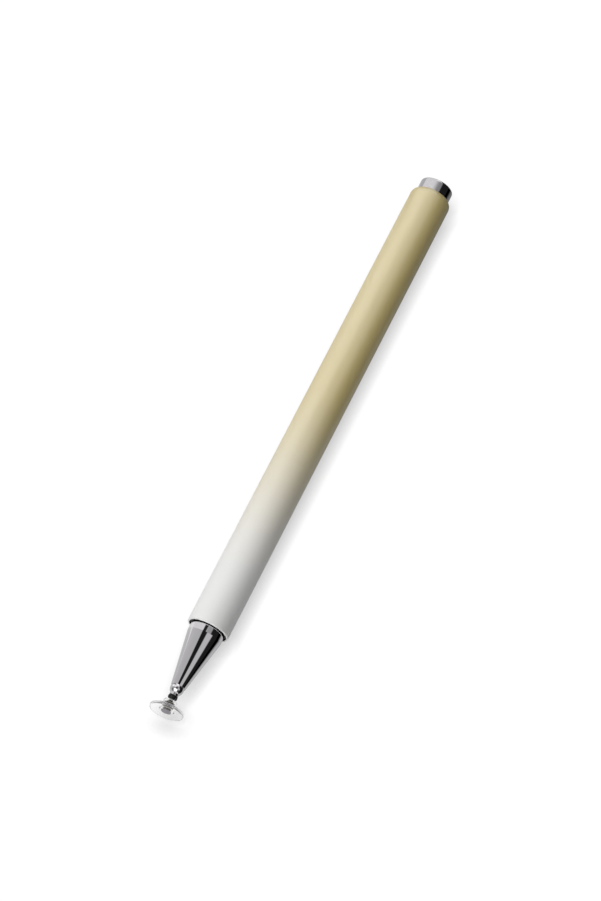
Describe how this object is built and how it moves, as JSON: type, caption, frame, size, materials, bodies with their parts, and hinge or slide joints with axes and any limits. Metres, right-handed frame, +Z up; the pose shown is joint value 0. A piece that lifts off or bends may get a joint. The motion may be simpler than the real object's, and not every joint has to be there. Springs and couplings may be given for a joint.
{
  "type": "stylus pen",
  "caption": "Disc-tip touch-screen stylus: slim lacquered barrel, screw-in chrome cone nose, and a clear disc that tilts and swivels on a ball at the tip; chrome plug at the tail.",
  "frame": {"origin": "on the surface that the pen lies on, under the middle of the pen's overall length", "axes": "+X along the pen from tip to tail, +Z up, +Y across the pen"},
  "size_m": [0.132, 0.009, 0.009],
  "materials": {
    "lacquer": "satin lacquer on aluminium, white at the mouth fading to cream at the tail",
    "chrome": "polished chrome plate",
    "steel": "turned steel",
    "brass": "turned brass",
    "rubber": "black rubber",
    "clear": "clear polycarbonate",
    "pad": "grey conductive film",
    "magnet": "nickel-plated magnet",
    "nylon": "black nylon"
  },
  "bodies": {
    "barrel": {"barrel_tube": "lacquer", "front_insert": "brass", "tail_plug": "chrome", "tail_magnet": "magnet", "tail_retainer": "nylon"},
    "gasket": {"nose_gasket": "rubber"},
    "nose": {"nose_cone": "chrome", "tip_ferrule": "chrome", "ball_stud": "steel", "stud_washer": "steel", "stud_nut": "steel"},
    "ring": {"neck_ring": "rubber"},
    "disc": {"disc_hub": "clear", "touch_disc": "clear", "contact_pad": "pad"}
  },
  "joints": [
    {"name": "nose_travel", "type": "slide", "parent": "barrel", "child": "gasket", "axis": [-1, 0, 0], "range_m": [0, 0.004]},
    {"name": "nose_turn", "type": "hinge", "parent": "gasket", "child": "nose", "pos_m": [-0.04634, 0, 0.0045], "axis": [-1, 0, 0], "range_deg": [0, 2881]},
    {"name": "disc_swivel", "type": "hinge", "parent": "nose", "child": "ring", "pos_m": [-0.06397, 0, 0.0045], "axis": [1, 0, 0], "continuous": true},
    {"name": "disc_tilt", "type": "hinge", "parent": "ring", "child": "disc", "pos_m": [-0.06397, 0, 0.0045], "axis": [0, 0.6691, 0.7431], "range_deg": [-31.7, 18.3]}
  ],
  "couplings": [
    {"joint": "nose_turn", "follows": "nose_travel", "rad_per_m": 12566}
  ]
}
